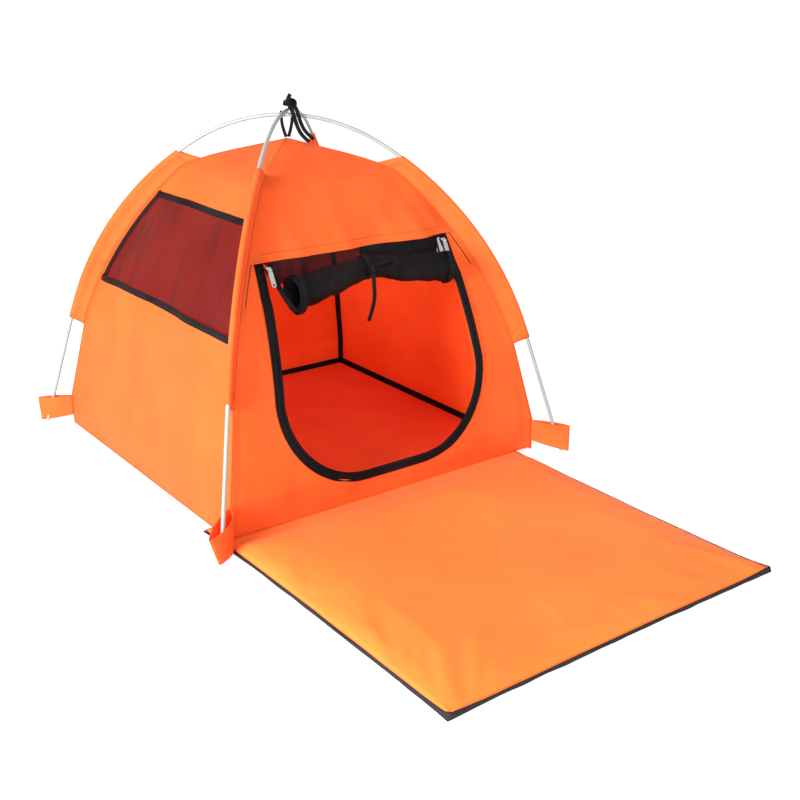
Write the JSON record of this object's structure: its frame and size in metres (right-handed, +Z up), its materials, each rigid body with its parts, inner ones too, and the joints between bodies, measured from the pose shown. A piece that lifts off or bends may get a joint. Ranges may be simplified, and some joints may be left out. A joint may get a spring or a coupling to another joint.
{
  "type": "dome tent",
  "caption": "Small square dome tent for a pet, on two crossing rod arches, with a rolled net door, side windows and a loose padded mat.",
  "frame": {"origin": "middle of the tent floor's underside, on the ground", "axes": "+Z up, -Y towards the door side and the mat, +X to the right as seen from the front"},
  "size_m": [0.5594, 0.9444, 0.4766],
  "materials": {
    "tent_cloth": "orange plain-weave polyester with a soft sheen",
    "floor_cloth": "orange coated polyester floor",
    "black_net": "black fine net",
    "black_tape": "black woven binding tape",
    "black_ribbon": "black ribbon",
    "glass_fibre": "pale white glass fibre",
    "ferrule_steel": "brushed",
    "zip_metal": "polished nickel",
    "mat_cloth": "orange padded polyester",
    "mat_underside": "dark non-slip cloth",
    "padding": "white wadding"
  },
  "bodies": {
    "tent": {"back_left_ferrule": "ferrule_steel", "back_left_foot_tab": "tent_cloth", "back_left_rod_leg": "glass_fibre", "back_left_seam_tape": "black_tape", "back_left_sleeve": "tent_cloth", "back_right_ferrule": "ferrule_steel", "back_right_foot_tab": "tent_cloth", "back_right_rod_leg": "glass_fibre", "back_right_seam_tape": "black_tape", "back_right_sleeve": "tent_cloth", "back_wall": "tent_cloth", "crown_tie_knot": "black_ribbon", "crown_tie_left_strand": "black_ribbon", "crown_tie_right_strand": "black_ribbon", "crown_tie_tail_far": "black_ribbon", "crown_tie_tail_near": "black_ribbon", "door_wall": "tent_cloth", "door_zip_tape": "black_tape", "floor_seam_tape": "black_tape", "floor_sheet": "floor_cloth", "front_flap": "tent_cloth", "front_left_ferrule": "ferrule_steel", "front_left_foot_tab": "tent_cloth", "front_left_rod_leg": "glass_fibre", "front_left_seam_tape": "black_tape", "front_left_sleeve": "tent_cloth", "front_right_ferrule": "ferrule_steel", "front_right_foot_tab": "tent_cloth", "front_right_rod_leg": "glass_fibre", "front_right_seam_tape": "black_tape", "front_right_sleeve": "tent_cloth", "left_wall_lower": "tent_cloth", "left_wall_upper": "tent_cloth", "left_window_binding": "black_tape", "left_window_net": "black_net", "lower_rod_crown": "glass_fibre", "right_wall_lower": "tent_cloth", "right_wall_upper": "tent_cloth", "right_window_binding": "black_tape", "right_window_net": "black_net", "upper_rod_crown": "glass_fibre"},
    "mat": {"mat_cover": "mat_cloth", "mat_padding": "padding", "mat_underside": "mat_underside"},
    "rolled_door": {"door_roll": "black_net", "left_roll_tape": "black_tape", "right_roll_tape": "black_tape", "door_net_curtain": "black_net", "door_tie_band": "black_ribbon", "door_tie_knot": "black_ribbon", "door_tie_bow": "black_ribbon", "door_tie_tail": "black_ribbon"},
    "left_slider": {"left_zip_slider": "zip_metal"},
    "left_pull": {"left_zip_pull": "zip_metal"},
    "right_slider": {"right_zip_slider": "zip_metal"},
    "right_pull": {"right_zip_pull": "zip_metal"}
  },
  "joints": [
    {"name": "mat_slide", "type": "slide", "parent": "tent", "child": "mat", "axis": [0, -1, 0], "range_m": [0, 0.12]},
    {"name": "door_roll_swing", "type": "hinge", "parent": "tent", "child": "rolled_door", "pos_m": [0, -0.157, 0.3065], "axis": [-1, 0, 0], "range_deg": [0, 40]},
    {"name": "left_zip_slide", "type": "slide", "parent": "tent", "child": "left_slider", "axis": [-0.0831, -0.4601, -0.884], "range_m": [0, 0.02]},
    {"name": "left_pull_hinge", "type": "hinge", "parent": "left_slider", "child": "left_pull", "pos_m": [-0.1332, -0.16893, 0.30104], "axis": [-1, 0, 0], "range_deg": [0, 150]},
    {"name": "right_zip_slide", "type": "slide", "parent": "tent", "child": "right_slider", "axis": [0.0831, -0.4601, -0.884], "range_m": [0, 0.02]},
    {"name": "right_pull_hinge", "type": "hinge", "parent": "right_slider", "child": "right_pull", "pos_m": [0.1332, -0.16893, 0.30104], "axis": [-1, 0, 0], "range_deg": [0, 150]}
  ]
}
